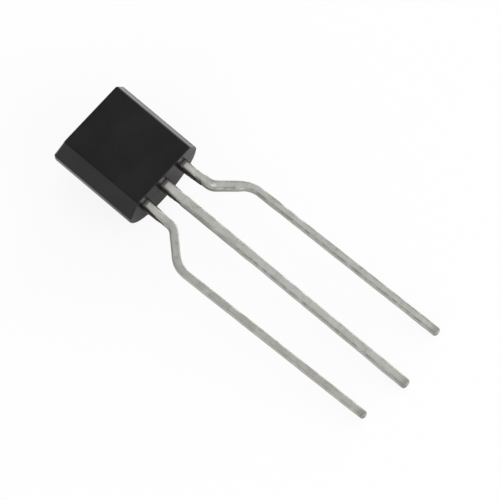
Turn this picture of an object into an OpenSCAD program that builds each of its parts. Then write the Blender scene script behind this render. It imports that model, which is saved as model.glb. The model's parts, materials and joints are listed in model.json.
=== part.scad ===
// TO-92 transistor with formed leads, in millimetres.
// A moulded epoxy body with a flat front and a round back holds a stamped lead frame, a silicon die and two
// bond wires. The outer leads are formed out from the pitch at the body to a wider pitch.
// The part lies as it comes to rest: flat face up, on the foot of its round back and the tip of its longest lead.
//
// Package frame, used by every module inside lying():
//   X across the row of leads, Y from the flat front (-Y) to the round back (+Y), Z from the leads up the body.
//   Y = 0 is the parting plane, in the middle of the leads' thickness. Z = 0 is the end face the leads leave.

/* [Body] */
// Width of the body across the row of leads
body_w = 4.55; // [4.2:0.05:5]
// Height of the body along the leads
body_h = 4.58; // [4.2:0.02:5.2]
// Width of the flat front face, measured to its sharp corners
flat_w = 3.55; // [3.2:0.05:3.9]
// Depth from the flat front face to the parting plane
flat_depth = 1.2; // [1.1:0.05:1.5]
// Taper of the front half's head face, in degrees
head_draft = 7; // [0:0.5:10]
// Taper of the front half's face at the leads, in degrees
lead_end_draft = 1; // [0:0.5:5]
// Distance from the parting plane back to the axis of the round back
back_centre = 0.15; // [0.05:0.05:0.3]
// Radius of the moulded outer edges
edge_r = 0.12; // [0.05:0.01:0.2]

/* [Resin at the leads] */
// Height of the low collar round each lead's root
collar_h = 0.06; // [0.05:0.01:0.25]
// Width of the collar's wall
collar_wall = 0.05; // [0.03:0.01:0.12]
// Length of the thin resin flash left along both sides of each lead
flash_len = 1.2; // [0.8:0.05:1.3]
// Width of the flash where it leaves the body
flash_root_w = 0.07; // [0.04:0.01:0.12]
// Width of the flash where it was trimmed off
flash_tip_w = 0.02; // [0.01:0.005:0.04]
// Thickness of the flash
flash_t = 0.3; // [0.2:0.01:0.34]

/* [Leads] */
// Pitch of the leads at the body
lead_pitch = 1.27; // [1.2:0.01:1.35]
// Pitch of the outer leads to the centre lead after forming
formed_pitch = 2.58; // [2.3:0.01:2.8]
// Width of the centre lead
centre_lead_w = 0.45; // [0.38:0.01:0.52]
// Width of the two outer leads
outer_lead_w = 0.39; // [0.36:0.01:0.5]
// Thickness of the lead frame
lead_t = 0.38; // [0.36:0.01:0.45]
// Length of the centre lead below the body
centre_lead_len = 14.25; // [12.7:0.05:15.5]
// Length of the left lead below the body
left_lead_len = 13.75; // [12.7:0.05:15.5]
// Length of the right lead below the body
right_lead_len = 13.75; // [12.7:0.05:15.5]
// Distance from the body to the corner of the outer leads' first bend
bend_start = 1.62; // [1.55:0.01:2]
// Distance along the leads between the corners of the two bends
jog_len = 1.43; // [1.3:0.01:2]
// Bend radius at the middle of the lead
bend_r = 0.9; // [0.5:0.05:1]
// Sideways lean of the centre lead, in degrees, towards the right lead
centre_lean = 0.4; // [-2:0.1:2]
// Sideways lean of the left lead after forming, in degrees, towards the centre lead
left_lean = 1.9; // [-3:0.1:3]
// Sideways lean of the right lead after forming, in degrees, away from the centre lead
right_lean = 1.5; // [-3:0.1:3]

/* [Lead frame inside the body] */
// Height of the shoulders that lock each lead in the resin, above the end face
shoulder_z = 0.4; // [0.3:0.05:0.5]
// Height of one shoulder along the lead
shoulder_h = 0.3; // [0.2:0.05:0.4]
// How far a shoulder stands out on each side of its lead
shoulder_out = 0.15; // [0.08:0.01:0.18]
// Width of the die paddle on the centre lead
paddle_w = 1.3; // [1:0.05:1.4]
// Height of the die paddle
paddle_h = 1.6; // [1.2:0.05:1.7]
// Width of the bond pad on each outer lead
pad_w = 0.7; // [0.6:0.02:0.76]
// Height of the bond pads
pad_h = 0.8; // [0.5:0.05:1]
// Height of the die's centre, and of the paddle's and pads' centres, above the end face
die_z = 2.25; // [2:0.05:2.5]

/* [Die and bond wires] */
// Side of the square silicon die
die_side = 0.5; // [0.35:0.05:0.7]
// Thickness of the die
die_t = 0.18; // [0.12:0.01:0.25]
// How far the die attach shows round the die
attach_margin = 0.04; // [0.02:0.01:0.08]
// Thickness of the die attach
attach_t = 0.03; // [0.02:0.01:0.05]
// Diameter of a bond wire
wire_d = 0.04; // [0.03:0.005:0.05]
// Distance of each ball bond from the die's centre
ball_x = 0.13; // [0.1:0.01:0.15]
// Radius of a ball bond
ball_r = 0.06; // [0.05:0.005:0.07]
// Height of a ball bond
ball_h = 0.05; // [0.045:0.005:0.07]
// Radius of the arc that a bond wire runs along
loop_r = 0.8; // [0.7:0.05:1.2]
// Radius of the flattened foot of a bond wire
foot_r = 0.05; // [0.04:0.005:0.06]
// Thickness of the foot
foot_t = 0.015; // [0.01:0.005:0.02]

/* [Hidden] */
$fn = 64;
LEFT = -1;
RIGHT = 1;
resin_colour = "#2b2a2c";
tin_colour = "#b9bbb6";
silicon_colour = "#5b6068";
solder_colour = "#c4c4c0";
gold_colour = "#d8ab3a";

// The sides run straight back from the parting plane to the axis of the round back, which is half a cylinder
back_r = body_w / 2;
back_reach = back_centre + back_r;
// A collar and a strip of flash start this far inside the body, so that they are one solid with it
rooted = 0.1;

// Forming: angle of the run between the two bends
jog_angle = atan2(formed_pitch - lead_pitch, jog_len);
jog_run = norm([formed_pitch - lead_pitch, jog_len]);
formed_z = bend_start + jog_len;
// Each bend is drawn in this many steps
bend_steps = 12;

// A heading is the angle of a lead's middle line from straight down towards +X. Points are [X, Z].
function along(heading) = [sin(heading), -cos(heading)];
function across(heading) = [cos(heading), sin(heading)];

// Stations round one bend, each a point of the middle line and the heading there. The arc touches the two straight
// runs that would meet in the corner.
function bend_stations(corner, from, to) =
    let (setback = bend_r * tan(abs(to - from) / 2), side = sign(to - from))
    [for (i = [0:bend_steps])
        let (heading = from + (to - from) * i / bend_steps)
        [corner - setback * along(from) + side * bend_r * (across(from) - across(heading)), heading]];

// Stations of an outer lead: straight out of the body, outwards, then down with its lean
function lead_stations(side) =
    let (out = side * jog_angle, first = [side * lead_pitch, -bend_start], second = first + jog_run * along(out),
         lean = side == LEFT ? left_lean : right_lean, length = side == LEFT ? left_lead_len : right_lead_len)
    concat([[[side * lead_pitch, die_z], 0]],
           bend_stations(first, 0, out),
           bend_stations(second, out, lean),
           [[second + (length - formed_z) / cos(lean) * along(lean), lean]]);

// Outline of an outer lead: down its right edge and back up its left edge
function lead_outline(side) =
    let (stations = lead_stations(side), last = len(stations) - 1, half = outer_lead_w / 2)
    concat([for (s = stations) s[0] + half * across(s[1])],
           [for (i = [last:-1:0]) stations[i][0] - half * across(stations[i][1])]);

// Rest pose: a line under the foot of the round back and the tip of the longest lead
rest_len = max(centre_lead_len, left_lead_len, right_lead_len);
rest_drop = back_reach - edge_r - lead_t / 2;
rest_run = rest_len + edge_r;
tilt = acos(-edge_r / norm([rest_drop, rest_run])) - atan2(rest_run, rest_drop);
rest_height = (back_reach - edge_r) * cos(tilt) - edge_r * sin(tilt) + edge_r;

// Ends of the lying part along its length
head_end = (back_reach - edge_r) * sin(tilt) + (body_h - edge_r) * cos(tilt) + edge_r;
tip_end = -lead_t / 2 * sin(tilt) - rest_len * cos(tilt);

// Middle of the part across the row, between the furthest edges of the two outer leads
left_end = min([for (p = lead_outline(LEFT)) p[0]]);
right_end = max([for (p = lead_outline(RIGHT)) p[0]]);
middle_x = (left_end + right_end) / 2;

// Bond wire: an arc from the middle of its ball bond down to the pad, in height above the lead frame's face
ball_level = attach_t + die_t + ball_h / 2;
foot_x = lead_pitch - ball_x;
chord = [foot_x - ball_x, -ball_level];
chord_mid = [(foot_x + ball_x) / 2, ball_level / 2];
chord_drop = sqrt(loop_r * loop_r - chord * chord / 4) / norm(chord);
loop_centre = chord_mid + chord_drop * [chord[1], -chord[0]];
loop_start = atan2(ball_level - loop_centre[1], ball_x - loop_centre[0]);
loop_end = atan2(-loop_centre[1], foot_x - loop_centre[0]);
// The arc runs on past the pad's face by the wire's thickness and is cut off flat there
loop_past = atan2(wire_d, loop_r);

// Turns the package frame into the frame of the lying part
module lying() {
    translate([-middle_x, -(head_end + tip_end) / 2, rest_height]) rotate([tilt - 90, 0, 0]) children();
}

// Rectangle with rounded corners, drawn from true arcs
module rounded_rect(w, h, r) {
    square([w - 2 * r, h], center = true);
    square([w, h - 2 * r], center = true);
    for (x = [-1, 1], y = [-1, 1]) translate([x * (w / 2 - r), y * (h / 2 - r)]) circle(r);
}

// Trapezoid from wide at Y = 0 to the flat, with its two front corners rounded. Each end has a taper of its own.
module tapered_front(wide, low_taper, high_taper) {
    // How far the middle of a corner's arc lies inside the wide end
    low_in = flat_depth * tan(low_taper) + edge_r * tan((90 - low_taper) / 2);
    high_in = flat_depth * tan(high_taper) + edge_r * tan((90 - high_taper) / 2);
    low_x = low_in - wide / 2;
    high_x = wide / 2 - high_in;
    centre_y = edge_r - flat_depth;
    polygon([[-wide / 2, 0], [wide / 2, 0],
             [high_x + edge_r * cos(high_taper), centre_y - edge_r * sin(high_taper)], [high_x, -flat_depth],
             [low_x, -flat_depth], [low_x - edge_r * cos(low_taper), centre_y - edge_r * sin(low_taper)]]);
    for (x = [low_x, high_x]) translate([x, centre_y]) circle(edge_r);
}

// Front half of the moulding, centred on its height: slanted sides, drafted ends and rounded edges
module front_half() {
    side_taper = atan2((body_w - flat_w) / 2, flat_depth);
    intersection() {
        linear_extrude(body_h, center = true) tapered_front(body_w, side_taper, side_taper);
        rotate([0, -90, 0]) linear_extrude(body_w, center = true)
            tapered_front(body_h, lead_end_draft, head_draft);
        rotate([90, 0, 0]) linear_extrude(flat_depth) rounded_rect(body_w, body_h, edge_r);
    }
}

// Back half of the moulding, centred on its height: straight sides, then the round back
module back_half() {
    rotate([-90, 0, 0]) linear_extrude(back_centre) rounded_rect(body_w, body_h, edge_r);
    translate([0, back_centre, 0]) rotate_extrude(angle = 180) intersection() {
        rounded_rect(body_w, body_h, edge_r);
        translate([0, -body_h / 2]) square([back_r, body_h]);
    }
}

// Resin at one lead's root: a low collar, and flash that thins out along both sides of the lead
module lead_exit(w) {
    flash_w = w / 2 + flash_root_w;
    trimmed_w = w / 2 + flash_tip_w;
    translate([0, 0, -collar_h]) linear_extrude(collar_h + rooted)
        rounded_rect(w + 2 * collar_wall, lead_t + 2 * collar_wall, collar_wall);
    rotate([90, 0, 0]) linear_extrude(flash_t, center = true)
        polygon([[-flash_w, rooted], [flash_w, rooted], [flash_w, 0], [trimmed_w, -flash_len],
                 [-trimmed_w, -flash_len], [-flash_w, 0]]);
}

// The moulding, with the space that the lead frame, die and wires fill
module moulded_body() {
    color(resin_colour) lying() difference() {
        union() {
            translate([0, 0, body_h / 2]) {
                front_half();
                back_half();
            }
            lead_exit(centre_lead_w);
            for (side = [LEFT, RIGHT]) translate([side * lead_pitch, 0, 0]) lead_exit(outer_lead_w);
        }
        centre_lead_shape();
        outer_lead_shape(LEFT);
        outer_lead_shape(RIGHT);
        attach_shape();
        die_shape();
        wire_shape(LEFT);
        wire_shape(RIGHT);
    }
}

// Stamps a shape, drawn as X and Z, out of the lead frame's sheet
module stamped() {
    rotate([90, 0, 0]) linear_extrude(lead_t, center = true) children();
}

// What a lead has inside the body: the shoulders that lock it in the resin, and the plate at the die's height
module anchor(lead_w, plate_w, plate_h) {
    translate([-lead_w / 2 - shoulder_out, shoulder_z]) square([lead_w + 2 * shoulder_out, shoulder_h]);
    translate([0, die_z]) square([plate_w, plate_h], center = true);
}

module centre_lead_shape() {
    half = centre_lead_w / 2;
    tip_x = centre_lead_len * tan(centre_lean);
    stamped() polygon([[half, die_z], [half, 0], [tip_x + half, -centre_lead_len],
                       [tip_x - half, -centre_lead_len], [-half, 0], [-half, die_z]]);
    stamped() anchor(centre_lead_w, paddle_w, paddle_h);
}

module outer_lead_shape(side) {
    stamped() polygon(lead_outline(side));
    stamped() translate([side * lead_pitch, 0]) anchor(outer_lead_w, pad_w, pad_h);
}

module attach_shape() {
    side = die_side + 2 * attach_margin;
    translate([0, -(lead_t + attach_t) / 2, die_z]) cube([side, attach_t, side], center = true);
}

module die_shape() {
    translate([0, -(lead_t + die_t) / 2 - attach_t, die_z]) cube([die_side, die_t, die_side], center = true);
}

// Bond wire from its ball on the die to its foot on the outer lead's pad, drawn in its own plane:
// X towards the pad, Y up from the lead frame's face
module wire_shape(side) {
    mirror([side == LEFT ? 1 : 0, 0, 0]) translate([0, -lead_t / 2, die_z]) rotate([180, 0, 0]) {
        translate([ball_x, attach_t + die_t, 0]) rotate([-90, 0, 0]) cylinder(h = ball_h, r = ball_r);
        translate([foot_x, 0, 0]) rotate([-90, 0, 0]) cylinder(h = foot_t, r = foot_r);
        intersection() {
            translate(loop_centre) rotate([0, 0, loop_end - loop_past])
                rotate_extrude(angle = loop_start - loop_end + loop_past)
                translate([loop_r, 0]) circle(d = wire_d);
            translate([0, 0, -wire_d]) cube([lead_pitch, loop_r, 2 * wire_d]);
        }
    }
}

module collector_lead() {
    color(tin_colour) lying() centre_lead_shape();
}

module base_lead() {
    color(tin_colour) lying() outer_lead_shape(RIGHT);
}

module emitter_lead() {
    color(tin_colour) lying() outer_lead_shape(LEFT);
}

module die() {
    color(silicon_colour) lying() die_shape();
}

module die_attach() {
    color(solder_colour) lying() attach_shape();
}

module base_bond_wire() {
    color(gold_colour) lying() wire_shape(RIGHT);
}

module emitter_bond_wire() {
    color(gold_colour) lying() wire_shape(LEFT);
}

moulded_body();
collector_lead();
base_lead();
emitter_lead();
die();
die_attach();
base_bond_wire();
emitter_bond_wire();
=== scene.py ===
"""TO-92 transistor with formed leads: its finished surfaces, built in the frame of the packed model.

Laid out as an add-on: each operator makes one piece or group of like pieces, and main() calls them.
"""

import json
import math

import bpy
import numpy as np
from bpy.props import FloatProperty, FloatVectorProperty, PointerProperty
from mathutils import Matrix, Vector


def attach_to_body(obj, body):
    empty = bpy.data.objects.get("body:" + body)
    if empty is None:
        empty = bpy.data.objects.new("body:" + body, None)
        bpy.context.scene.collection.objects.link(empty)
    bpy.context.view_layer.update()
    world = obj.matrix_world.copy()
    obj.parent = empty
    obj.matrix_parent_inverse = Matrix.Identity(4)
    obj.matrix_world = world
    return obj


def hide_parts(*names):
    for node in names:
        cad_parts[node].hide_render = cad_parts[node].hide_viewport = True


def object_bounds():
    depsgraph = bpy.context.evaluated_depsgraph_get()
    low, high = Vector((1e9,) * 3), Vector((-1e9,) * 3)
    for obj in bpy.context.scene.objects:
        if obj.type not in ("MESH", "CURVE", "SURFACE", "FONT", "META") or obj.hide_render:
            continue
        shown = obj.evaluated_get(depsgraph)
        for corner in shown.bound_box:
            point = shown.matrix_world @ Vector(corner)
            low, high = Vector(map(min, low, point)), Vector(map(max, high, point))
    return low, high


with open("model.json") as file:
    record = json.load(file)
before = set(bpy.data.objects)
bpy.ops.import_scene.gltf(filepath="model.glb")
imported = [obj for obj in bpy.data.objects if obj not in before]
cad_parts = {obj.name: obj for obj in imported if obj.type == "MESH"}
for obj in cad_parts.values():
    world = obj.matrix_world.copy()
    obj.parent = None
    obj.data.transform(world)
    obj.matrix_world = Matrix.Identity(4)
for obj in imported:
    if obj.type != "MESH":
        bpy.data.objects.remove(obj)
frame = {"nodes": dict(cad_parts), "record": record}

bl_info = {
    "name": "TO-92 transistor",
    "version": (1, 0, 0),
    "blender": (4, 5, 0),
    "location": "3D View > Sidebar > Transistor",
    "description": "Builds a moulded TO-92 transistor with tinned, formed leads",
    "category": "Object",
}

MM = 0.001
CAD_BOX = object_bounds()
LEFT, CENTRE, RIGHT = -1, 0, 1
SIDE_NAMES = {LEFT: "left", CENTRE: "centre", RIGHT: "right"}
ROOT_BODY = "root"

# What the points of a piece tell its material: thin resin or a lead's sheared sides, the cut tip, a bleed
# of resin on a lead and a pale painted reflection on a collar, painted light on the tin beside the body,
# the place across a lead from -1 to 1, and painted glints on the tin.
MARKS = ("bare", "cut", "bleed", "painted_root_light", "across", "painted_glint")

# The lead frame inside the body, which holds the leads: width and length of the plates, the shoulders'
# heights above the end face, how far they stand out, and the length over which a stamped step is drawn.
PADDLE = (1.3 * MM, 1.6 * MM)
PAD = (0.7 * MM, 0.8 * MM)
SHOULDER_TOP = 0.7 * MM
SHOULDER_FOOT = 0.4 * MM
SHOULDER_REACH = 0.15 * MM
STAMPED_STEP = 0.01 * MM

# Spacing of a lead's sections outside the body, and how many points its middle line is summed over.
STATION = 0.045 * MM
FINE_POINTS = 20001

# How far the collars and the film of resin start inside the body.
ROOTED = 0.05 * MM

# First seeds of the random draws for the leads and for the film of resin.
LEAD_SEED = 100
FILM_SEED = 40

# The stage, in metres: half the floor's side and the lamps' distance. The sensor is in millimetres.
FLOOR_HALF = 0.6
LAMP_DISTANCE = 0.42
SENSOR = 36


# ---------------------------------------------------------------- the package's own frame

def package_frame():
    """Origin and axes of the package, from the record's mounts.

    X runs across the row of leads, Y from the flat to the round back, and Z from the leads up the body. The
    origin is where the centre lead's middle line meets the end face.
    """
    mounts = {m["name"]: m for m in frame["record"]["mounts"]}
    y_axis = -np.array(mounts["flat_front"]["axis"])
    z_axis = -np.array(mounts["lead_row"]["axis"])
    row = np.array(mounts["lead_row"]["pos_m"])
    end_face = np.array(mounts["end_face"]["pos_m"])
    origin = row + z_axis * ((end_face - row) @ z_axis)
    axes = np.array([np.cross(y_axis, z_axis), y_axis, z_axis])
    return origin, axes / np.linalg.norm(axes, axis=1)[:, None]


ORIGIN, AXES = package_frame()


def to_world(points):
    """Package coordinates to the frame's own: the origin plus each coordinate times its axis."""
    return ORIGIN + points @ AXES


def package_points(node):
    """The vertices of a CAD node, in package coordinates."""
    vertices = frame["nodes"][node].data.vertices
    flat = np.empty(len(vertices) * 3, np.float32)
    vertices.foreach_get("co", flat)
    return (flat.reshape(-1, 3) - ORIGIN) @ AXES.T


def measure():
    """Driving sizes of the packed solids, in metres.

    The centre lead's width is taken near its tip, clear of its paddle and shoulders.
    """
    same_place, near_tip = 1e-6, -10 * MM
    body = package_points("moulded_body")
    widest = body[np.abs(body[:, 0]) > body[:, 0].max() - same_place]
    on_flat = body[body[:, 1] < body[:, 1].min() + same_place]
    leads = {name: package_points(name) for name in ("collector_lead", "base_lead", "emitter_lead")}
    centre = leads["collector_lead"]
    return {
        "body_width": 2 * body[:, 0].max(),
        "body_height": body[:, 2].max(),
        "flat_depth": -body[:, 1].min(),
        "back_centre": body[:, 1].max() - body[:, 0].max(),
        "flat_half": np.abs(on_flat[:, 0]).max(),
        "edge_radius": widest[:, 2].min(),
        "lead_thickness": 2 * centre[:, 1].max(),
        "centre_width": np.ptp(centre[centre[:, 2] < near_tip][:, 0]),
        "centre_length": -centre[:, 2].min(),
        "right_length": -leads["base_lead"][:, 2].min(),
        "left_length": -leads["emitter_lead"][:, 2].min(),
    }


SIZE = measure()


# ---------------------------------------------------------------- settings

def linear(hex_colour):
    """An sRGB hex colour as linear red, green, blue and alpha."""
    channels = [int(hex_colour[i:i + 2], 16) / 255 for i in (1, 3, 5)]
    return tuple(c / 12.92 if c <= 0.04045 else ((c + 0.055) / 1.055) ** 2.4 for c in channels) + (1.0,)


def length(name, description, default):
    """A property that holds a length."""
    return FloatProperty(name=name, description=description, default=default, precision=6,
                         unit="LENGTH", subtype="DISTANCE")


def angle(name, description, degrees):
    """A property that holds an angle."""
    return FloatProperty(name=name, description=description, default=math.radians(degrees),
                         unit="ROTATION", subtype="ANGLE")


def colour(name, description, default):
    """A property that holds a colour, given as sRGB hex."""
    return FloatVectorProperty(name=name, description=description, default=linear(default), size=4,
                               min=0, max=1, subtype="COLOR")


class BodySizes(bpy.types.PropertyGroup):
    """Sizes of the moulding."""
    width: length("Width", "Across the row of leads", SIZE["body_width"])
    height: length("Height", "Along the leads", SIZE["body_height"])
    flat_depth: length("Flat depth", "From the flat to the parting plane", SIZE["flat_depth"])
    flat_half: length("Half flat", "From the middle of the flat to where its edge turns", SIZE["flat_half"])
    back_centre: length("Back centre", "From the parting plane to the back's axis", SIZE["back_centre"])
    edge_radius: length("Edge radius", "Of the moulded edges", SIZE["edge_radius"])
    flat_edge: length("Flat's edge radius", "Of the flat's edge at the leads", 0.04 * MM)
    head_draft: angle("Head draft", "Taper of the front half's head face", 7)
    lead_end_draft: angle("Lead end draft", "Taper of the front half's face at the leads", 1)
    head_skew: angle("Head skew", "How far the round back's head face rises to the left", 1.1)
    ridge: length("Parting ridge", "How far the parting line stands out", 0.012 * MM)
    ridge_width: length("Ridge width", "Half the width of the parting line", 0.035 * MM)
    collar_height: length("Collar height", "Of the resin round each lead's root", 0.12 * MM)
    collar_wall: length("Collar wall", "Of the resin round each lead's root", 0.045 * MM)
    flash_length: length("Flash length", "Of the resin film on both sides of a lead", 1.2 * MM)
    flash_root: length("Flash at the root", "Width of the film at the body", 0.07 * MM)
    flash_tip: length("Flash at its end", "Width of the film where it ends", 0.02 * MM)
    left_flash: length("Left flash", "How much wider the film is on the left lead", 0.02 * MM)
    flash_thickness: length("Flash thickness", "Of the resin film", 0.3 * MM)


class LeadSizes(bpy.types.PropertyGroup):
    """Sizes of the lead frame."""
    pitch: length("Pitch", "Of the leads at the body", 1.27 * MM)
    formed_pitch: length("Formed pitch", "Of the leads after forming", 2.58 * MM)
    thickness: length("Thickness", "Of the lead frame's sheet", SIZE["lead_thickness"])
    centre_width: length("Centre width", "Width of the centre lead", SIZE["centre_width"])
    left_width: length("Left width", "Width of the left lead", 0.365 * MM)
    right_width: length("Right width", "Width of the right lead", 0.38 * MM)
    centre_length: length("Centre length", "Of the centre lead below the body", SIZE["centre_length"])
    left_length: length("Left length", "Of the left lead below the body", SIZE["left_length"])
    right_length: length("Right length", "Of the right lead below the body", SIZE["right_length"])
    left_bend: length("Left bend", "From the body to the left lead's first bend", 1.67 * MM)
    right_bend: length("Right bend", "From the body to the right lead's first bend", 1.67 * MM)
    right_splay: angle("Right splay", "Of the right lead, outwards before its first bend", 3.4)
    formed: length("Formed", "From the body to the second bends", 3.05 * MM)
    first_radius: length("First bend radius", "At the middle of a lead", 0.6 * MM)
    second_radius: length("Second bend radius", "At the middle of a lead", 1.3 * MM)
    centre_lean: angle("Centre lean", "Of the centre lead towards the right lead", 0.4)
    left_lean: angle("Left lean", "Of the left lead towards the centre lead", 1.9)
    right_lean: angle("Right lean", "Of the right lead away from the centre lead", 1.5)
    edge_radius: length("Edge radius", "Of the plated edges", 0.06 * MM)
    tip_radius: length("Tip radius", "Of the cut ends' edges, through the sheet", 0.05 * MM)
    tip_corner: length("Tip corner", "Of the cut ends' corners, across the lead", 0.15 * MM)
    plate_height: length("Plate height", "From the end face to the middle of the plates", 2.25 * MM)
    left_trim: length("Left trim", "Width left where the bar was cut off the left lead", 0.045 * MM)
    left_trim_start: length("Left trim start", "From the body to that part", 0.75 * MM)
    left_trim_end: length("Left trim end", "From the body to that part's end", 3.7 * MM)
    centre_trim: length("Centre trim", "The same width on the centre lead", 0.05 * MM)
    centre_trim_start: length("Centre trim start", "From the body to that part", 1.15 * MM)
    centre_trim_end: length("Centre trim end", "From the body to that part's end", 5.2 * MM)
    right_trim: length("Right trim", "The same width on the right lead", 0.08 * MM)
    right_trim_start: length("Right trim start", "From the body to that part", 1.15 * MM)
    right_trim_end: length("Right trim end", "From the body to that part's end", 3.0 * MM)
    # Painted highlights: where the two painted glints sit on the right lead.
    first_glint: length("First rubbed spot", "From the body to it, on the right lead", 1.72 * MM)
    second_glint: length("Second rubbed spot", "From the body to it, on the right lead", 2.82 * MM)
    bleed: length("Bleed", "How far a thin bleed of resin runs out along the edges", 1.25 * MM)
    waviness: length("Waviness", "Of the plated faces", 0.006 * MM)


class Finishes(bpy.types.PropertyGroup):
    """Colours of the materials."""
    resin: colour("Resin", "Epoxy moulding compound", "#19181a")
    resin_worn: colour("Resin, rubbed", "Where the moulding compound has been rubbed", "#1f1e1f")
    silica: colour("Silica", "Grains of filler near the surface", "#2b2a2b")
    # Painted reflection: the pale colour on the collars stands in for the lead mirrored in the end face.
    flash: colour("Flash", "Thin resin film at the leads", "#38332b")
    skin: colour("Skin", "Pale skin of resin where a lead leaves the body", "#5e5c5a")
    bleed: colour("Bleed", "Thin bleed of resin over a lead's edges", "#35322e")
    tin: colour("Tin", "Clean matte tin", "#cbccc7")
    # Painted light: the lighter tin beside the body lifts the shade that the body casts there.
    tin_painted_root_light: colour("Tin, fresh", "Unhandled tin beside the body", "#dcdad4")
    tin_dull: colour("Tin, dull", "Oxidised and handled tin", "#aaa8a2")
    # Painted shade: the darker strip along an edge of a lead's face.
    strip: colour("Strip", "Duller strip along an edge of a lead's face", "#85837e")
    scuff: colour("Scuff", "Handling marks on the tin", "#84827d")
    # Painted highlight: the near-white colour of the glints on the right lead.
    painted_glint: colour("Tin, rubbed", "Where the forming tool rubbed the tin bright", "#eef2f3")
    sheared: colour("Sheared side", "Sheared sides of the leads, thinly plated", "#aeada8")
    cut: colour("Cut tip", "Copper alloy bared at the cut tips and dulled", "#6f6c67")
    silicon: colour("Silicon", "Polished silicon", "#50555e")
    doped: colour("Silicon, doped", "The die's doped regions", "#7d7f92")
    attach: colour("Die attach", "Silver-filled die attach", "#bdbdb8")
    flake: colour("Flakes", "Edges of the silver flakes", "#8c8c86")
    gold: colour("Gold", "Bond wire", "#e3b14b")
    floor: colour("Floor", "The surface that the part lies on", "#646464")
    fibre: colour("Fibres", "Paler fibres of that surface", "#666666")


class StageSettings(bpy.types.PropertyGroup):
    """Camera and light."""
    yaw: angle("Yaw", "Camera's turn from the flat's normal, towards the left lead", 15.33)
    pitch: angle("Pitch", "Camera's drop below the flat's normal, towards the leads' tips", 8.82)
    roll: angle("Roll", "Turn of the leads in the view, below level to the right", 39.95)
    distance: length("Distance", "From the camera to the aim point", 126 * MM)
    field: length("Field", "Width of the view at the aim point", 22.41 * MM)
    aim_across: length("Aim across", "View centre, to the right of the aim point", 0.167 * MM)
    aim_up: length("Aim up", "View centre, above the aim point", 0.139 * MM)
    aim_depth: length("Aim point", "Distance of the aim point below the end face", 4.9 * MM)


def of_side(sizes, side, *names):
    """The sizes that each lead has of its own, such as its width, for the lead on one side."""
    return [getattr(sizes, SIDE_NAMES[side] + "_" + name) for name in names]


# ---------------------------------------------------------------- meshes

def ripple(position, spacing, seed):
    """Smooth random waviness along a line: seeded values from -1 to 1 at even knots, eased by a cosine."""
    count = 4096
    knots = np.random.RandomState(seed).uniform(-1, 1, count)
    place = position / spacing + count // 8
    cell = np.floor(place).astype(int)
    ease = (1 - np.cos((place - cell) * math.pi)) / 2
    return knots[cell] * (1 - ease) + knots[cell + 1] * ease


def shell(points, uv=None, normals=None, **marks):
    """One closed surface: rings of points, each end closed by a pole in the middle of its ring."""
    return {"points": points, "uv": uv, "normals": normals, "marks": marks}


def shell_faces(rings, columns):
    """Corner numbers of the quads between neighbouring rings and of the triangles at the two ends."""
    ring = np.arange(rings - 1)[:, None] * columns
    here = np.arange(columns)[None, :]
    following = (here + 1) % columns
    quads = np.stack([ring + here, ring + following, ring + columns + following, ring + columns + here], -1)
    first, last = rings * columns, rings * columns + 1
    top = (rings - 1) * columns
    start = np.stack([np.full(columns, first), following[0], here[0]], -1)
    end = np.stack([np.full(columns, last), top + here[0], top + following[0]], -1)
    return quads.reshape(-1, 4), np.concatenate([start, end])


def shell_uv(uv):
    """Per-corner UVs in the order of shell_faces. uv has one column more than the points, for the seam."""
    quads = np.stack([uv[:-1, :-1], uv[:-1, 1:], uv[1:, 1:], uv[1:, :-1]], -2).reshape(-1, 2)
    start = np.stack([(uv[0, :-1] + uv[0, 1:]) / 2, uv[0, 1:], uv[0, :-1]], -2).reshape(-1, 2)
    end = np.stack([(uv[-1, :-1] + uv[-1, 1:]) / 2, uv[-1, :-1], uv[-1, 1:]], -2).reshape(-1, 2)
    return np.concatenate([quads, start, end])


def signed_volume(vertices, quads):
    """Volume that the quads enclose, negative if they face inwards: a sixth of a sum of triple products."""
    a, b, c, d = (vertices[quads[:, i]] for i in range(4))
    return (np.einsum("ij,ij->", a, np.cross(b, c)) + np.einsum("ij,ij->", a, np.cross(c, d))) / 6


def with_poles(grid):
    """A grid's values as one list, followed by the means of its first and last ring, for the poles."""
    return np.concatenate([grid.reshape(-1, *grid.shape[2:]), [grid[0].mean(0), grid[-1].mean(0)]])


def closed_shell(points, uv):
    """Vertices, quads, end triangles and per-corner UVs of one shell, with its faces turned outwards."""
    vertices = with_poles(points)
    quads, ends = shell_faces(*points.shape[:2])
    corners = np.zeros((quads.size + ends.size, 2)) if uv is None else shell_uv(uv)
    if signed_volume(vertices - vertices.mean(0), quads) < 0:
        split = quads.size
        quads, ends = quads[:, ::-1], ends[:, ::-1]
        corners = np.concatenate([corners[:split].reshape(-1, 4, 2)[:, ::-1].reshape(-1, 2),
                                  corners[split:].reshape(-1, 3, 2)[:, ::-1].reshape(-1, 2)])
    return vertices, quads, ends, corners


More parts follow.
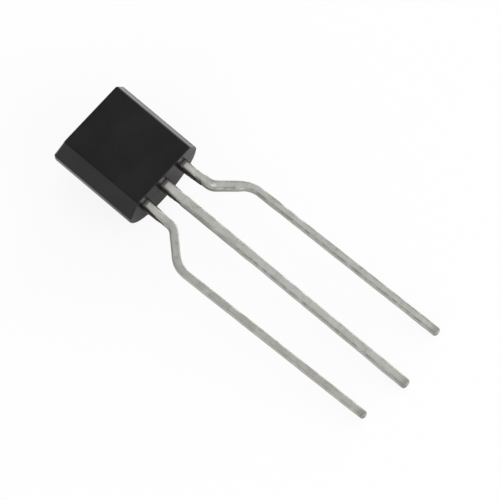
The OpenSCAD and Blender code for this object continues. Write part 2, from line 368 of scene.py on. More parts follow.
def add_piece(name, shells, material, slot, *replaced):
    """A mesh object of closed shells, which rides on the part and stands for the CAD nodes it replaces."""
    vertices, faces, uvs, normals, start = [], [], [], [], 0
    marks = {key: [] for key in MARKS}
    for item in shells:
        points, quads, ends, corners = closed_shell(item["points"], item["uv"])
        vertices.append(to_world(points))
        faces += (quads + start).tolist() + (ends + start).tolist()
        uvs.append(corners)
        given = item["normals"]
        normals.append(np.zeros_like(points) if given is None else with_poles(given) @ AXES)
        for key in MARKS:
            value = np.broadcast_to(item["marks"].get(key, 0.0), item["points"].shape[:2])
            marks[key].append(with_poles(value))
        start += len(points)
    mesh = bpy.data.meshes.new(name)
    mesh.from_pydata(np.concatenate(vertices).tolist(), [], faces)
    mesh.polygons.foreach_set("use_smooth", np.ones(len(mesh.polygons), bool))
    mesh.uv_layers.new(name="strip").data.foreach_set("uv", np.concatenate(uvs).astype(np.float32).ravel())
    for key, values in marks.items():
        layer = mesh.attributes.new(key, "FLOAT", "POINT")
        layer.data.foreach_set("value", np.concatenate(values).astype(np.float32))
    mesh.normals_split_custom_set_from_vertices(np.concatenate(normals).tolist())
    mesh.validate()
    mesh.materials.append(material)
    piece = bpy.data.objects.new(name, mesh)
    bpy.context.scene.collection.objects.link(piece)
    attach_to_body(piece, ROOT_BODY)
    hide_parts(*replaced)


# ---------------------------------------------------------------- shapes of the moulding

def arc(centre, radius, start, end, steps):
    """Points and outward normals round an arc, from angle start to angle end."""
    turn = np.linspace(start, end, steps)
    normals = np.stack([np.cos(turn), np.sin(turn)], -1)
    return np.array(centre) + radius * normals, normals


def plan_outline(sizes):
    """Outline of the moulding seen along the leads, as points and outward normals.

    From the middle of the flat: the flat, a rounded corner, the slanted side to the parting plane, a
    straight side to the round back's axis, half of the round back, and the same mirrored. The slanted side
    is the tangent from the widest point to the corner's circle. The parting ridge rises by a cosine bell
    round the widest point.
    """
    radius, corner = sizes.width / 2, sizes.edge_radius
    centre = np.array([sizes.flat_half, corner - sizes.flat_depth])
    widest = np.array([radius, 0.0])
    reach = widest - centre
    slant = math.atan2(reach[1], reach[0]) - math.acos(corner / np.linalg.norm(reach))
    side_normal = np.array([math.cos(slant), math.sin(slant)])
    over = np.linspace(0, sizes.flat_half, 24)[:-1]
    flat = np.stack([over, np.full_like(over, -sizes.flat_depth)], -1)
    turn, turn_normals = arc(centre, corner, -math.pi / 2, slant, 9)
    # The slanted side has even steps and finer ones by the ridge. The straight side's grow away from it.
    share = np.concatenate([np.linspace(0, 1, 14)[1:-1], 1 - np.geomspace(0.06, 0.004, 9)])
    side = turn[-1] + np.sort(share)[:, None] * (widest - turn[-1])
    step = np.geomspace(0.004 * MM, sizes.back_centre, 12)[:-1]
    straight = np.stack([np.full_like(step, radius), step], -1)
    back, back_normals = arc([0, sizes.back_centre], radius, 0, math.pi / 2, 52)
    points = np.concatenate([flat, turn, side, [widest], straight, back])
    middle = (side_normal + [1, 0]) / np.linalg.norm(side_normal + [1, 0])
    normals = np.concatenate([np.tile([0.0, -1.0], (len(flat), 1)), turn_normals,
                              np.tile(side_normal, (len(side), 1)), [middle],
                              np.tile([1.0, 0.0], (len(straight), 1)), back_normals])
    away = np.linalg.norm(points - widest, axis=1)
    rise = np.where(away < sizes.ridge_width, (1 + np.cos(math.pi * away / sizes.ridge_width)) / 2, 0)
    points = points + normals * (rise * sizes.ridge)[:, None]
    mirror = np.array([-1, 1])
    return (np.concatenate([points, points[-2:0:-1] * mirror]),
            np.concatenate([normals, normals[-2:0:-1] * mirror]))


def body_shell(sizes):
    """The moulding as rings round the plan outline.

    A ring on the side keeps the outline. A ring on a rim moves in by the edge radius times one minus the
    cosine of the rim's angle, and towards the end face by its sine. A ring on an end face is the rim's last
    ring drawn towards the middle line. At the leads the flat's own edge has a smaller radius, which grows
    to the common one along the slanted sides. The end faces of the front half slope by their drafts, in
    proportion to the distance from the parting plane. The head face of the round back rises to the left by
    its skew, which fades out towards the flat.
    """
    sharp_from, sharp_run, skew_fade = 0.6, 0.3, 0.9 * MM
    plan, across = plan_outline(sizes)
    at_flat = np.clip((-plan[:, 1] / sizes.flat_depth - sharp_from) / sharp_run, 0, 1)
    lower_edge = sizes.edge_radius + (sizes.flat_edge - sizes.edge_radius) * at_flat

    def ring(turn, shrink, top):
        """One ring's points and normals, from its angle on the rim, its size within it, and its end."""
        slope = math.tan(sizes.head_draft if top else sizes.lead_end_draft)
        edge = sizes.edge_radius if top else lower_edge
        flat = (plan - across * np.reshape(edge * (1 - math.cos(turn)), (-1, 1))) * shrink
        fall = slope * np.maximum(0, -flat[:, 1]) + edge * (1 - math.sin(turn))
        skew = math.tan(sizes.head_skew) * flat[:, 0] * np.clip(1 + flat[:, 1] / skew_fade, 0, 1)
        height = sizes.height - fall - skew if top else fall
        tilt = np.where(flat[:, 1] < 0, slope, 0.0) * math.sin(turn)
        sign = 1 if top else -1
        normal = np.stack([across[:, 0] * math.cos(turn), across[:, 1] * math.cos(turn) - tilt,
                           np.full(len(plan), sign * math.sin(turn))], -1)
        normal /= np.linalg.norm(normal, axis=1)[:, None]
        return np.column_stack([flat, height]), normal

    turns = np.linspace(0, math.pi / 2, 9)
    shrinks = np.array([0.97, 0.9, 0.8, 0.7, 0.6, 0.5, 0.4, 0.3, 0.2, 0.1, 0.03])
    bottom = [ring(math.pi / 2, s, False) for s in shrinks[::-1]] + [ring(t, 1, False) for t in turns[::-1]]
    top = [ring(t, 1, True) for t in turns] + [ring(math.pi / 2, s, True) for s in shrinks]
    low, high = bottom[-1], top[0]
    side = [(low[0] + (high[0] - low[0]) * s, low[1]) for s in np.linspace(0, 1, 30)[1:-1]]
    points, normals = zip(*bottom, *side, *top)
    return shell(np.stack(points), normals=np.stack(normals))


# ---------------------------------------------------------------- shapes that follow a path

def section(half_width, half_thickness, corner):
    """Rounded rectangle of each station, across and through: four quarter arcs joined by four flats."""
    turn = np.linspace(0, math.pi / 2, 7)
    quarter = np.stack([np.cos(turn), np.sin(turn)], -1)
    inner = np.stack([half_width - corner, half_thickness - corner], -1)
    corners = []
    for quadrant, signs in enumerate(([1, 1], [-1, 1], [-1, -1], [1, -1])):
        local = quarter if quadrant % 2 == 0 else quarter[::-1]
        corners.append(inner[:, None, :] * signs + corner[:, None, None] * local[None] * signs)
    share = np.linspace(0, 1, 8)[1:-1, None]
    parts = []
    for here, following in zip(corners, corners[1:] + corners[:1]):
        parts += [here, here[:, -1:, :] + (following[:, :1, :] - here[:, -1:, :]) * share[None]]
    return np.concatenate(parts, 1)


def sweep(path, headings, along, half_width, half_thickness, corner, shift=0.0):
    """A rounded rectangle carried along a path in the plane of the lead frame: points, outline and UVs.

    A point is the station's middle, plus the section's width offset along the direction across the path,
    plus its thickness offset through the sheet. shift moves the section across the path. The UVs are
    millimetres round the section and along the path.
    """
    outline = section(half_width, half_thickness, corner)
    across = np.stack([np.cos(headings), np.zeros_like(headings), np.sin(headings)], -1)
    through = np.array([0.0, 1.0, 0.0])
    middle = np.stack([path[:, 0], np.zeros(len(path)), path[:, 1]], -1)
    middle = middle + across * np.reshape(shift, (-1, 1))
    points = middle[:, None, :] + outline[..., :1] * across[:, None, :] + outline[..., 1:] * through
    closed = np.concatenate([outline, outline[:, :1]], 1)
    travelled = np.cumsum(np.linalg.norm(np.diff(closed, axis=1), axis=-1), 1)
    around = np.concatenate([np.zeros((len(path), 1)), travelled], 1)
    uv = np.stack([around, np.broadcast_to(along[:, None], around.shape)], -1) / MM
    return points, outline, uv


def lead_line(sizes, side, distance):
    """Middle line of a lead at given distances from the middle of its plate, as points and headings.

    The heading is the angle from straight down. It is constant on a straight run and grows evenly with the
    distance on a bend, so the line is the running sum of its direction. The centre lead turns to its lean
    where it leaves the body and has no other bend.
    """
    fine = np.linspace(min(distance[0], 0), distance[-1], FINE_POINTS)
    root = sizes.plate_height
    if side == CENTRE:
        heading = np.where(fine > root, sizes.centre_lean, 0.0)
    else:
        lean, corner = of_side(sizes, side, "lean", "bend")
        splay = sizes.right_splay if side == RIGHT else 0.0
        step_out = sizes.formed_pitch - sizes.pitch - math.tan(splay) * corner
        jog = sizes.formed - corner
        out = math.atan2(step_out, jog) * side
        first = sizes.first_radius * abs(out - splay)
        second = sizes.second_radius * abs(lean - out)
        first_reach = sizes.first_radius * math.tan(abs(out - splay) / 2)
        second_reach = sizes.second_radius * math.tan(abs(lean - out) / 2)
        start = root + corner / math.cos(splay) - first_reach
        between = math.hypot(step_out, jog) - first_reach - second_reach
        bends = np.concatenate([[root, root], start + np.cumsum([0, first, between, second])])
        heading = np.interp(fine, bends, [0, splay, splay, out, out, lean])
    step = np.diff(fine, prepend=fine[0])
    x = sizes.pitch * side + np.cumsum(np.sin(heading) * step)
    z = root - fine[0] - np.cumsum(np.cos(heading) * step)
    points = np.stack([np.interp(distance, fine, x), np.interp(distance, fine, z)], -1)
    return points, np.interp(distance, fine, heading)


def lead_stations(sizes, side, plate_length):
    """Where a lead's sections stand, as distances from the middle of its plate, how far each one is rounded
    over by the cut, from 0 to 1, and the distance of the tip.

    Inside the body pairs of sections draw the stamped steps of the plate and of the shoulders. Outside it
    the sections stand evenly, and over the tip's corner they follow a quarter circle.
    """
    total, = of_side(sizes, side, "length")
    guess = np.linspace(0, 1.3 * (sizes.plate_height + total), FINE_POINTS)
    depth = -lead_line(sizes, side, guess)[0][:, 1]
    reach = np.interp(total, depth, guess)
    top, bottom = -plate_length / 2, plate_length / 2
    shoulder, foot = sizes.plate_height - SHOULDER_TOP, sizes.plate_height - SHOULDER_FOOT
    inside = np.array([top, bottom - STAMPED_STEP, bottom, shoulder, shoulder + STAMPED_STEP,
                       foot - STAMPED_STEP, foot])
    run = np.arange(foot + 0.1 * MM, reach - sizes.tip_corner, STATION)
    turn = np.linspace(0, math.pi / 2, 11)
    distance = np.concatenate([inside, run, reach - sizes.tip_corner * (1 - np.sin(turn))])
    rounded = np.concatenate([np.zeros(len(inside) + len(run)), 1 - np.cos(turn)])
    return distance, rounded, reach


def lead_sections(sizes, side, plate_width, distance, rounded, seed):
    """Half width, half thickness and corner radius of a lead at each of its stations.

    The width steps out for the plate, which is the first two stations, and for the shoulders, which are the
    fifth and sixth. It eases out by the trim where a bar was cut away. Outside the body the width, the
    thickness and the corners waver by ripples of their own, which fade in as the lead leaves it. At the tip
    the width and the thickness draw in as far as the section is rounded over.
    """
    width, trim, start, end = of_side(sizes, side, "width", "trim", "trim_start", "trim_end")
    half = np.full(len(distance), width / 2)
    half[:2] = plate_width / 2
    half[4:6] = width / 2 + SHOULDER_REACH
    out_of_body = distance - sizes.plate_height
    outside = np.clip((out_of_body - 0.3 * MM) / (0.5 * MM), 0, 1)
    rise = np.clip((out_of_body - start) / (0.15 * MM) + 0.5, 0, 1)
    fall = np.clip((end - out_of_body) / (0.5 * MM) + 0.5, 0, 1)
    half = half + trim / 2 * (rise * fall) ** 2 * (3 - 2 * rise * fall)
    wave = sizes.waviness * outside
    long_wave, short_wave = ripple(distance, 0.9 * MM, seed), ripple(distance, 0.16 * MM, seed + 1)
    half = half + wave * (0.6 * long_wave + 0.4 * short_wave) - wave
    thick = np.full(len(distance), sizes.thickness / 2)
    thick = thick + wave * 0.6 * (ripple(distance, 1.1 * MM, seed + 2) - 1)
    half = half - rounded * min(sizes.tip_corner, 0.4 * width)
    thick = thick - rounded * sizes.tip_radius
    corner = np.full(len(distance), sizes.edge_radius) * (1 - 0.75 * (1 - outside))
    corner = corner * (1 + 0.35 * outside * ripple(distance, 0.5 * MM, seed + 3))
    return half, thick, np.minimum(corner, np.minimum(thick, half) * 0.95)


def lead_marks(sizes, side, distance, reach, across, seed):
    """What a lead's points tell its material, from their distance along it and their place across it.

    The sides are sheared, and the tip is cut. Resin bleeds in from both edges, further on the left one, and
    narrows along the lead to nothing. The tin beside the body is painted lighter, painted light where it
    lies in shade. Two painted glints on the right lead, painted highlights at its bends, fade as the
    exponential of minus the squared distance, each in its own size along the lead.
    """
    out_of_body = distance - sizes.plate_height
    ragged_end = sizes.bleed * (1 + 0.1 * ripple(distance, 0.3 * MM, seed + 4))
    share = np.clip(out_of_body / ragged_end, 0, 1)[:, None]
    left, right = 0.25 + 0.75 * share, 0.6 + 0.4 * share
    bleed = np.maximum(np.clip((-across - left) / 0.45, 0, 1), np.clip((across - right) / 0.5, 0, 1))
    # Two painted glints, painted highlights on the right lead's tin.
    painted_glint = np.zeros_like(across)
    spots = ((sizes.first_glint, -0.1, 0.16 * MM), (sizes.second_glint, -0.8, 0.13 * MM))
    for place, off, size in spots if side == RIGHT else ():
        away = (out_of_body - place)[:, None] ** 2 / size ** 2 + (across - off) ** 2 / 0.2
        painted_glint = np.maximum(painted_glint, np.exp(-away))
    return {
        "bare": np.clip((np.abs(across) - 0.86) / 0.12, 0, 1),
        "cut": np.clip(1.2 - (reach - distance) / (0.4 * MM), 0, 1)[:, None],
        "bleed": bleed * (1 - share ** 3),
        # Painted light on the tin beside the body, which lies in the body's shade.
        "painted_root_light": np.clip(1.6 - out_of_body / (0.9 * MM), 0, 1)[:, None],
        "across": across,
        "painted_glint": painted_glint,
    }


def lead_shell(sizes, side, plate, seed):
    """One lead from the top of its plate to its cut tip: its sections carried along its middle line."""
    plate_width, plate_length = plate
    distance, rounded, reach = lead_stations(sizes, side, plate_length)
    half, thick, corner = lead_sections(sizes, side, plate_width, distance, rounded, seed)
    path, headings = lead_line(sizes, side, distance)
    points, outline, uv = sweep(path, headings, distance + plate_length / 2, half, thick, corner)
    across = outline[..., 0] / half[:, None]
    return shell(points, uv, **lead_marks(sizes, side, distance, reach, across, seed))


def straight_down(leads, side, depth):
    """Path and headings of what runs straight down from the body round one lead's root."""
    return np.stack([np.full(len(depth), leads.pitch * side), -depth], -1), np.zeros(len(depth))


def collar_shell(body, leads, side):
    """The low collar of resin round one lead's root: a sleeve from inside the body to its own height.

    Its lip draws in by the lip's radius times one minus the cosine of the lip's angle. A pale colour is
    painted on it as a painted reflection of the lead, strongest over the middle of the lead's face, and
    weaker at the lip.
    """
    width, = of_side(leads, side, "width")
    turn = np.linspace(0, math.pi / 2, 6)
    soft = body.collar_wall * 0.6
    depth = np.concatenate([[-ROOTED, 0.0], body.collar_height - soft * (1 - np.sin(turn))])
    shrink = np.concatenate([[0, 0], soft * (1 - np.cos(turn))])
    half = width / 2 + body.collar_wall - shrink
    thick = leads.thickness / 2 + body.collar_wall - shrink
    corner = np.full(len(depth), body.collar_wall)
    points, outline, uv = sweep(*straight_down(leads, side, depth), depth, half, thick, corner)
    sideways = np.abs(outline[..., 0]) / half[:, None]
    lip = np.clip((body.collar_height - depth) / (0.01 * MM), 0.6, 1)
    # The pale mark is a painted reflection of the lead's face.
    return shell(points, uv, bleed=np.clip((0.9 - sideways) / 0.25, 0, 1) * lip[:, None])


def flash_shell(body, leads, side, edge, seed):
    """The film of resin along one side of a lead: a strip that thins out unevenly away from the body.

    Its width falls evenly from the root's to the tip's, wavers more and more along the way, and closes at
    the end by the root of one minus the eighth power of the distance's share. Its thickness falls in step
    with the distance.
    """
    width, = of_side(leads, side, "width")
    extra = body.left_flash if side == LEFT else 0.0
    last = body.flash_length * (1 + 0.12 * np.random.RandomState(seed).uniform(-1, 1))
    depth = np.linspace(-ROOTED, last, 70)
    share = np.clip(depth / last, 0, 1)
    film = body.flash_root + (body.flash_tip - body.flash_root) * share + extra
    film = film * (1 + 0.3 * share * ripple(depth, 0.12 * MM, seed))
    film = film * np.sqrt(np.clip(1.0005 - share ** 8, 0, 1))
    overlap = 0.03 * MM
    half = (film + overlap) / 2
    thick = body.flash_thickness / 2 * (1 - share * (0.7 + 0.15 * ripple(depth, 0.2 * MM, seed + 1)))
    shift = edge * (width / 2 - overlap / 2 + film / 2)
    corner = np.minimum(half, thick) * 0.6
    points, _, uv = sweep(*straight_down(leads, side, depth), depth, half, thick, corner, shift)
    return shell(points, uv, bare=np.clip(share * 1.2, 0, 1)[:, None])


# ---------------------------------------------------------------- materials

def add(tree, kind, inputs=(), **settings):
    """Adds a shader node, sets its properties, and fills its inputs.

    inputs goes by the inputs' names or numbers, or is a row that fills them in order. A socket is linked, a
    node is linked by the first of its outputs in use, and anything else is written as a value.
    """
    node = tree.nodes.new("ShaderNode" + kind)
    for name, value in settings.items():
        setattr(node, name, value)
    for name, value in inputs.items() if isinstance(inputs, dict) else enumerate(inputs):
        if isinstance(value, bpy.types.Node):
            value = next(socket for socket in value.outputs if socket.enabled)
        if isinstance(value, bpy.types.NodeSocket):
            tree.links.new(value, node.inputs[name])
        else:
            node.inputs[name].default_value = value
    return node


def new_material(name):
    """An empty material and its node tree."""
    material = bpy.data.materials.new(name)
    material.use_nodes = True
    material.node_tree.nodes.clear()
    return material, material.node_tree


def per_mm(size):
    """Scale of a texture whose features are this many millimetres across."""
    return 1 / (size * MM)


# In a Mix node of colours, input 0 is the factor, 6 the colour below and 7 the colour laid over it. A
# MapRange row is the value, the range that it is read in and the range that it is mapped to.

def epoxy_compound(finishes):
    """Silica-filled epoxy moulding compound from a spark-eroded mould: near black, satin, fine-grained.

    Real erosion grain and silica grains are a few hundredths of a millimetre across, too fine to show, and
    are drawn at 0.05 and 0.09 mm. Handling rubs the skin in patches of about 1.6 mm. The IOR is set under
    the 1.55 or so of smooth epoxy, so that the skin reflects as little at a grazing view as the real one.
    """
    material, tree = new_material("epoxy_moulding_compound")
    place = add(tree, "TexCoord").outputs["Object"]
    grain = add(tree, "TexNoise", {"Vector": place, "Scale": per_mm(0.05), "Detail": 3.0, "Roughness": 0.6})
    haze = add(tree, "TexNoise", {"Vector": place, "Scale": per_mm(1.6), "Detail": 4.0, "Roughness": 0.55})
    filler = add(tree, "TexVoronoi", {"Vector": place, "Scale": per_mm(0.09)}, feature="F1")
    base = finishes.resin
    for factor, layer in (
            (add(tree, "MapRange", (haze, 0.4, 0.65, 0.0, 1.0)), finishes.resin_worn),
            (add(tree, "MapRange", (filler, 0.05, 0.16, 0.35, 0.0)), finishes.silica),
            (add(tree, "Attribute", attribute_name="bare").outputs["Fac"], finishes.flash),
            # Painted reflection: the pale colour on the collars.
            (add(tree, "Attribute", attribute_name="bleed").outputs["Fac"], finishes.skin)):
        base = add(tree, "Mix", {0: factor, 6: base, 7: layer}, data_type="RGBA")
    rough = add(tree, "MapRange", (haze, 0.35, 0.7, 0.24, 0.30))
    fine = add(tree, "MapRange", (grain, 0.3, 0.7, -0.03, 0.03))
    rough = add(tree, "Math", (rough, fine), operation="ADD")
    bump = add(tree, "Bump", {"Height": grain, "Strength": 0.09, "Distance": 0.004 * MM})
    surface = add(tree, "BsdfPrincipled", {"Base Color": base, "Roughness": rough, "IOR": 1.26,
                                           "Normal": bump})
    add(tree, "OutputMaterial", {"Surface": surface})
    return material


def tinned_copper(name, finishes, dullness, offset, edge_shades):
    """Matte tin on copper alloy stamped from rolled sheet: grey, with the sheet's rolling lines along it.

    Handling stains of about 0.6 mm dull it, more with the dullness. So do scuffs of 0.22 mm. A broken darker
    strip along each edge of the face is painted shade, as strong as the given amounts for the left and the
    right one. Beside the body the tin is painted lighter as painted light, and two spots on the right lead
    are painted glints. Real tin crystals are a few thousandths of a millimetre across, and are drawn at
    0.07 mm to show. The rolling lines are 26 to a millimetre. The sheared sides are duller, the cut tips
    bare and dark, and the resin that bled over the edges isn't metal.
    """
    material, tree = new_material(name)
    place = add(tree, "TexCoord").outputs["Object"]
    along = add(tree, "UVMap", uv_map="strip")
    lines, streak = (
        add(tree, "TexNoise", {
            "Vector": add(tree, "Mapping", (along, (offset, offset, 0), (0, 0, 0), scale)),
            "Scale": 1.0, "Detail": detail, "Roughness": 0.6})
        for scale, detail in (((26, 0.8, 1), 3.0), ((2.5, 2.0, 1), 4.0)))
    stain = add(tree, "TexNoise", {"Vector": place, "Scale": per_mm(0.6), "Detail": 5.0, "Roughness": 0.62,
                                   "Distortion": 0.4})
    crystal = add(tree, "TexNoise", {"Vector": place, "Scale": per_mm(0.07), "Detail": 2.0})
    scuff = add(tree, "TexNoise", {"Vector": place, "Scale": per_mm(0.22), "Detail": 4.0, "Roughness": 0.7})
    marks = {key: add(tree, "Attribute", attribute_name=key).outputs["Fac"] for key in MARKS}
    broken = add(tree, "MapRange", (streak, 0.38, 0.58, 0.1, 1.0))
    # Painted shade: a darker strip along each edge of the face, broken into patches.
    edges = [add(tree, "MapRange", (marks["across"], side * 0.35, side * 0.75, 0.0, amount))
             for side, amount in zip((LEFT, RIGHT), edge_shades)]
    ragged = add(tree, "MapRange", (scuff, 0.3, 0.6, 0.55, 1.0))
    patchy = add(tree, "MapRange", (scuff, 0.44, 0.62, 1.0, 0.3))
    # Painted glints, broken into patches.
    painted_glint = add(tree, "Math", (marks["painted_glint"], patchy), operation="MULTIPLY")
    base = finishes.tin
    for factor, layer in (
            (add(tree, "MapRange", (stain, 0.38 - dullness, 0.72 - dullness, 0.0, 0.8)), finishes.tin_dull),
            # Painted light on the tin beside the body.
            (add(tree, "MapRange", (marks["painted_root_light"], 0.0, 1.0, 0.0, 0.8)), finishes.tin_painted_root_light),
            (add(tree, "Math", (edges[0], broken), operation="MULTIPLY"), finishes.strip),
            (add(tree, "Math", (edges[1], broken), operation="MULTIPLY"), finishes.strip),
            (add(tree, "MapRange", (scuff, 0.55, 0.70, 0.0, 0.42)), finishes.scuff),
            (add(tree, "MapRange", (painted_glint, 0.2, 0.8, 0.0, 0.9)), finishes.painted_glint),
            (add(tree, "Math", (marks["bare"], ragged), operation="MULTIPLY"), finishes.sheared),
            (add(tree, "MapRange", (marks["cut"], 0.0, 1.0, 0.0, 0.6)), finishes.cut),
            (marks["bleed"], finishes.bleed)):
        base = add(tree, "Mix", {0: factor, 6: base, 7: layer}, data_type="RGBA")
    metallic = add(tree, "MapRange", (marks["bleed"], 0.0, 1.0, 1.0, 0.2))
    rough = add(tree, "MapRange", (stain, 0.35, 0.7, 0.40, 0.54))
    height = add(tree, "Math", (lines, crystal), operation="ADD")
    bump = add(tree, "Bump", {"Height": height, "Strength": 0.5, "Distance": 0.003 * MM})
    surface = add(tree, "BsdfPrincipled", {"Base Color": base, "Metallic": metallic, "Roughness": rough,
                                           "Normal": bump})
    add(tree, "OutputMaterial", {"Surface": surface})
    return material


def polished_silicon(finishes):
    """A polished silicon die: mirror smooth, with the faint blocks of its doped regions, 0.16 mm across."""
    material, tree = new_material("polished_silicon")
    place = add(tree, "TexCoord").outputs["Object"]
    region = add(tree, "TexVoronoi", {"Vector": place, "Scale": per_mm(0.16)}, distance="CHEBYCHEV")
    doped = add(tree, "MapRange", (region, 0.2, 0.5, 0.0, 0.5))
    base = add(tree, "Mix", {0: doped, 6: finishes.silicon, 7: finishes.doped}, data_type="RGBA")
    surface = add(tree, "BsdfPrincipled", {"Base Color": base, "Roughness": 0.12, "IOR": 3.5})
    add(tree, "OutputMaterial", {"Surface": surface})
    return material


def silver_attach(finishes):
    """Silver-filled die attach, matte and grainy from its flakes, which are 0.01 mm across."""
    material, tree = new_material("silver_die_attach")
    place = add(tree, "TexCoord").outputs["Object"]
    flake = add(tree, "TexVoronoi", {"Vector": place, "Scale": per_mm(0.01)})
    base = add(tree, "Mix", {0: flake, 6: finishes.attach, 7: finishes.flake}, data_type="RGBA")
    bump = add(tree, "Bump", {"Height": flake, "Strength": 0.4, "Distance": 0.002 * MM})
    surface = add(tree, "BsdfPrincipled", {"Base Color": base, "Metallic": 1.0, "Roughness": 0.45,
                                           "Normal": bump})
    add(tree, "OutputMaterial", {"Surface": surface})
    return material


def bond_gold(finishes):
    """Drawn gold bond wire: bright, and a little uneven in gloss from the drawing, in spots of 0.02 mm."""
    material, tree = new_material("gold_bond_wire")
    place = add(tree, "TexCoord").outputs["Object"]
    spots = add(tree, "TexNoise", {"Vector": place, "Scale": per_mm(0.02), "Detail": 2.0})
    rough = add(tree, "MapRange", (spots, 0.3, 0.7, 0.16, 0.3))
    surface = add(tree, "BsdfPrincipled", {"Base Color": finishes.gold, "Metallic": 1.0, "Roughness": rough})
    add(tree, "OutputMaterial", {"Surface": surface})
    return material


def pale_floor(finishes):
    """Matt white card with fibres of about 0.5 mm.

    Camera, gloss and transmission rays also get light of its own, so it reads white while it keeps the
    shadow. Within some millimetres of the body's end face, reflections get less of it, as in a contact
    shadow.
    """
    own_light, near, far, near_share = 0.87, 1 * MM, 5 * MM, 0.2
    material, tree = new_material("white_card")
    place = add(tree, "TexCoord").outputs["Object"]
    fibre = add(tree, "TexNoise", {"Vector": place, "Scale": per_mm(0.5), "Detail": 2.0})
    base = add(tree, "Mix", {0: fibre, 6: finishes.floor, 7: finishes.fibre}, data_type="RGBA")
    card = add(tree, "BsdfDiffuse", {"Color": base})
    ray = add(tree, "LightPath").outputs
    away = add(tree, "VectorMath", (place, tuple(ORIGIN * [1, 1, 0])), operation="DISTANCE")
    share = add(tree, "MapRange", (away, near, far, near_share, 1.0))
    mirrored = add(tree, "Math", (ray["Is Glossy Ray"], ray["Is Transmission Ray"]), operation="MAXIMUM")
    mirrored = add(tree, "Math", (mirrored, share), operation="MULTIPLY")
    seen = add(tree, "Math", (ray["Is Camera Ray"], mirrored), operation="MAXIMUM")
    lift = add(tree, "Math", (seen, own_light), operation="MULTIPLY")
    glow = add(tree, "Emission", {"Color": (1, 1, 1, 1), "Strength": lift})
    add(tree, "OutputMaterial", {"Surface": add(tree, "AddShader", (card, glow))})
    return material


# ---------------------------------------------------------------- operators

class TO92_OT_moulding(bpy.types.Operator):
    """Makes the epoxy moulding, with its collars and the film of resin along the leads"""
    bl_idname = "to92.moulding"
    bl_label = "Moulding"

    def execute(self, context):
        body, leads = context.scene.to92_body, context.scene.to92_leads
        shells = [body_shell(body)]
        for side in (LEFT, CENTRE, RIGHT):
            shells.append(collar_shell(body, leads, side))
            for edge in (LEFT, RIGHT):
                shells.append(flash_shell(body, leads, side, edge, FILM_SEED + 7 * side + edge))
        material = epoxy_compound(context.scene.to92_finishes)
        add_piece("body_moulding", shells, material, "epoxy", "moulded_body")
        return {"FINISHED"}


class TO92_OT_leads(bpy.types.Operator):
    """Makes the three tinned leads, each with the plate and shoulders that the body hides"""
    bl_idname = "to92.leads"
    bl_label = "Leads"

    def execute(self, context):
        leads, finishes = context.scene.to92_leads, context.scene.to92_finishes
        # CAD node, side, plate, how much duller the tin is, and how strong its painted shade along the left
        # and right edges is
        for name, side, plate, dullness, edge_shades in (
                ("emitter_lead", LEFT, PAD, 0.12, (0.2, 0.1)),
                ("collector_lead", CENTRE, PADDLE, -0.02, (0.7, 0.15)),
                ("base_lead", RIGHT, PAD, 0.0, (0.8, 0.6))):
            seed = LEAD_SEED + 10 * side
            material = tinned_copper("tinned_copper_" + name, finishes, dullness, float(seed), edge_shades)
            shells = [lead_shell(leads, side, plate, seed)]
            add_piece(name + "_tinned", shells, material, "tinned_copper", name)
        return {"FINISHED"}


class TO92_OT_inner(bpy.types.Operator):
    """Gives the die, its attach and the bond wires their finishes"""
    bl_idname = "to92.inner"
    bl_label = "Die and wires"

    def execute(self, context):
        finishes = context.scene.to92_finishes
        gold = bond_gold(finishes)
        for node, material in (("die", polished_silicon(finishes)), ("die_attach", silver_attach(finishes)),
                               ("base_bond_wire", gold), ("emitter_bond_wire", gold)):
            materials = frame["nodes"][node].data.materials
            materials.clear()
            materials.append(material)
        return {"FINISHED"}


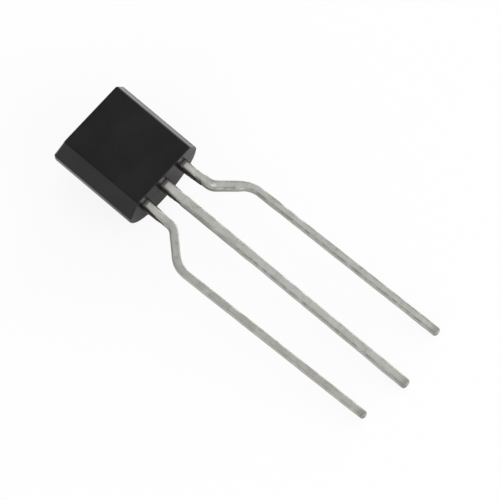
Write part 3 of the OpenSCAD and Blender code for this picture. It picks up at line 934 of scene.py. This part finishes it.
class TO92_OT_stage(bpy.types.Operator):
    """Makes the floor, the lights, the surroundings and the camera"""
    bl_idname = "to92.stage"
    bl_label = "Stage"

    def execute(self, context):
        scene = context.scene
        half, low = FLOOR_HALF, CAD_BOX[0].z
        mesh = bpy.data.meshes.new("card_floor")
        corners = [(-half, -half, low), (half, -half, low), (half, half, low), (-half, half, low)]
        mesh.from_pydata(corners, [], [(0, 1, 2, 3)])
        mesh.materials.append(pale_floor(scene.to92_finishes))
        floor = bpy.data.objects.new("card_floor", mesh)
        scene.collection.objects.link(floor)
        middle = (CAD_BOX[0] + CAD_BOX[1]) / 2
        # Name, direction from the part, side in metres and power in watts
        for name, direction, size, power in (
                ("front_panel", (0.10, -0.80, 0.45), 0.42, 0.50),
                ("right_panel", (0.90, 0.05, 0.25), 0.36, 0.55),
                ("left_panel", (-0.80, -0.30, 0.45), 0.36, 0.24)):
            light = bpy.data.lights.new(name, "AREA")
            light.shape = "SQUARE"
            light.size = size
            light.energy = power
            lamp = bpy.data.objects.new(name, light)
            away = Vector(direction).normalized()
            lamp.location = middle + away * LAMP_DISTANCE
            lamp.rotation_euler = away.to_track_quat("Z", "Y").to_euler()
            scene.collection.objects.link(lamp)
        self.surround(scene)
        self.camera(scene)
        scene.view_settings.view_transform = "Standard"
        return {"FINISHED"}

    @staticmethod
    def surround(scene):
        """A dome of strength 1 at the horizon and 0.6 overhead, with up to 0.56 more on the side in front
        and to the right, and as much less opposite."""
        world = bpy.data.worlds.new("soft_dome")
        world.use_nodes = True
        tree = world.node_tree
        tree.nodes.clear()
        towards = add(tree, "TexCoord").outputs["Generated"]
        height = add(tree, "SeparateXYZ", (towards,)).outputs["Z"]
        side = add(tree, "VectorMath", (towards, (0.25, -0.50, 0.0)), operation="DOT_PRODUCT")
        level = add(tree, "MapRange", (height, 0.0, 1.0, 1.0, 0.6))
        level = add(tree, "Math", (level, side), operation="ADD")
        back = add(tree, "Background", {"Color": (1, 1, 1, 1), "Strength": level})
        add(tree, "OutputWorld", {"Surface": back})
        scene.world = world

    @staticmethod
    def camera(scene):
        """A long lens on the flat from the leads' side, turned so that the leads run down to the right."""
        stage = scene.to92_stage
        yaw, pitch, roll = stage.yaw, stage.pitch, stage.roll
        level = math.cos(pitch)
        towards = -np.array([math.sin(yaw) * level, math.cos(yaw) * level, math.sin(pitch)])
        down = np.array([0, 0, -1.0])
        first = down - (down @ towards) * towards
        first /= np.linalg.norm(first)
        second = np.cross(towards, first)
        right = math.cos(roll) * first + math.sin(roll) * second
        up = math.cos(roll) * second - math.sin(roll) * first
        aim = down * stage.aim_depth + right * stage.aim_across + up * stage.aim_up
        data = bpy.data.cameras.new("camera")
        data.sensor_width = SENSOR
        data.lens = SENSOR * stage.distance / stage.field
        data.clip_start = MM
        camera = bpy.data.objects.new("camera", data)
        turn = np.stack([right, up, towards]) @ AXES
        place = Matrix(turn.T.tolist()).to_4x4()
        place.translation = Vector(to_world(aim + towards * stage.distance))
        camera.matrix_world = place
        scene.collection.objects.link(camera)
        scene.camera = camera


class TO92_PT_sidebar(bpy.types.Panel):
    """Lists the settings and the steps that build the transistor"""
    bl_idname = "TO92_PT_sidebar"
    bl_label = "TO-92 transistor"
    bl_space_type = "VIEW_3D"
    bl_region_type = "UI"
    bl_category = "Transistor"

    def draw(self, context):
        layout = self.layout
        for operator in OPERATORS:
            layout.operator(operator.bl_idname)
        for key, group in SETTINGS.items():
            box = layout.box()
            box.label(text=group.__doc__)
            values = getattr(context.scene, key)
            for name in group.__annotations__:
                box.prop(values, name)


OPERATORS = (TO92_OT_moulding, TO92_OT_leads, TO92_OT_inner, TO92_OT_stage)
SETTINGS = {
    "to92_body": BodySizes,
    "to92_leads": LeadSizes,
    "to92_finishes": Finishes,
    "to92_stage": StageSettings,
}


def register():
    """Registers the settings, the operators and the panel."""
    for cls in (*SETTINGS.values(), *OPERATORS, TO92_PT_sidebar):
        bpy.utils.register_class(cls)
    for key, group in SETTINGS.items():
        setattr(bpy.types.Scene, key, PointerProperty(type=group))


def unregister():
    """Takes the settings, the operators and the panel away again."""
    for key in SETTINGS:
        delattr(bpy.types.Scene, key)
    for cls in (TO92_PT_sidebar, *reversed(OPERATORS), *reversed(SETTINGS.values())):
        bpy.utils.unregister_class(cls)


def main():
    """Builds the whole scene."""
    register()
    bpy.ops.to92.moulding()
    bpy.ops.to92.leads()
    bpy.ops.to92.inner()
    bpy.ops.to92.stage()


if __name__ == "__main__":
    main()
